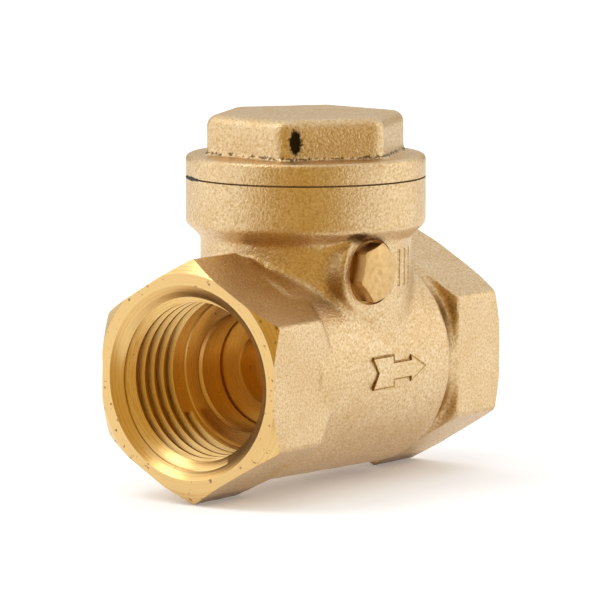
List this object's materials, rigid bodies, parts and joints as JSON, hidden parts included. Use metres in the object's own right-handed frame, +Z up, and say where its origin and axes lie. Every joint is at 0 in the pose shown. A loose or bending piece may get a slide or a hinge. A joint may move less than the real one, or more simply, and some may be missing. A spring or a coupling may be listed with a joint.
{
  "type": "swing check valve",
  "caption": "Inline swing check valve with hexagonal female-threaded ends, a screwed bonnet cap and a hinged clapper disc that closes against back flow.",
  "frame": {"origin": "centre of the inlet's threaded mouth, on the pipe axis", "axes": "+X along the pipe axis in the flow direction, +Z up the bonnet's axis to the cap, -Y towards the side with the flow arrow and the hinge-pin plug"},
  "size_m": [0.0465, 0.0288, 0.0446],
  "materials": {
    "cast_brass": "sand cast and shot blasted, turned at the ends",
    "cap_brass": "forged and shot blasted",
    "gasket": "pressed fibre and rubber",
    "pin_steel": "ground",
    "plug_brass": "drawn bar, faced",
    "hanger_brass": "as cast",
    "disc_brass": "turned",
    "washer_steel": "stamped",
    "nut_brass": "turned"
  },
  "bodies": {
    "body": {"valve_body": "cast_brass", "bonnet_cap": "cap_brass", "bonnet_gasket": "gasket", "hinge_pin": "pin_steel", "pin_plug": "plug_brass"},
    "hanger": {"hanger_arm": "hanger_brass"},
    "disc": {"clapper_disc": "disc_brass", "disc_washer": "washer_steel", "disc_nut": "nut_brass"}
  },
  "joints": [
    {"name": "clapper_swing", "type": "hinge", "parent": "body", "child": "hanger", "pos_m": [0.02, 0, 0.012], "axis": [0, -1, 0], "range_deg": [0, 55]},
    {"name": "disc_spin", "type": "hinge", "parent": "hanger", "child": "disc", "pos_m": [0.01987, 0, 0], "axis": [1, 0, 0], "continuous": true}
  ]
}
